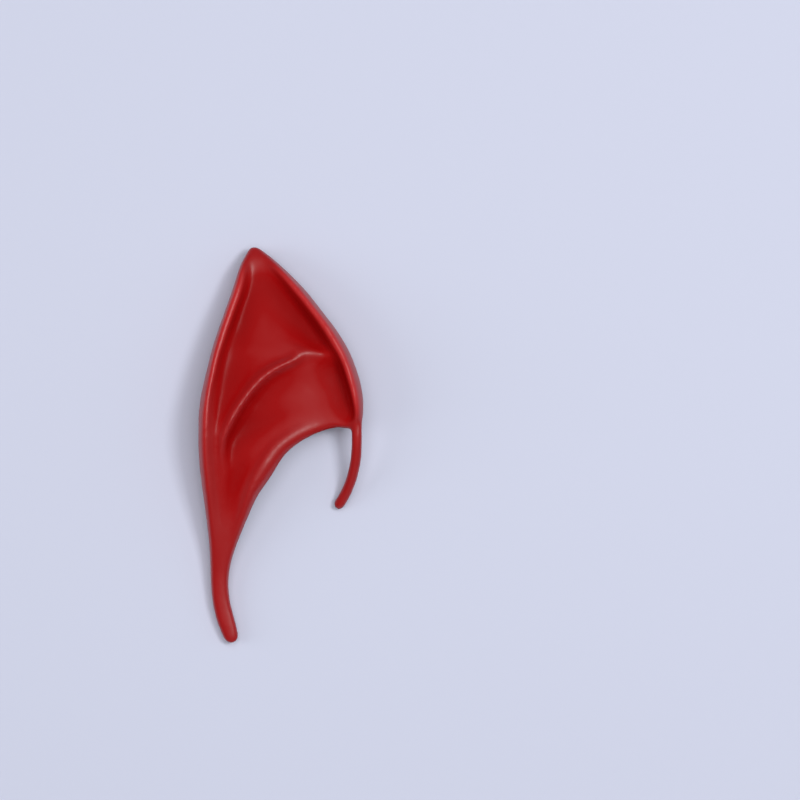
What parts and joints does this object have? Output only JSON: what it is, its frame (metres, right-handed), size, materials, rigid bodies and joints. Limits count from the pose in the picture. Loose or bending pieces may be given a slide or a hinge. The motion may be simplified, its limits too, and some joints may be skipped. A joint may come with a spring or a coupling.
{
  "type": "elf ear tip",
  "caption": "Pointed elf ear tip of soft red latex with rolled rims and an inner fold, open at the back, with a hook in front and a tail behind.",
  "frame": {"origin": "centre of the outline, on the table it lies on", "axes": "+Y towards the point, +X towards the hook in front, +Z out of the carved face"},
  "size_m": [0.05, 0.12, 0.018],
  "materials": {
    "latex": "soft satin latex, coloured right through"
  },
  "bodies": {
    "root": {"ear_tip": "latex"}
  },
  "joints": []
}
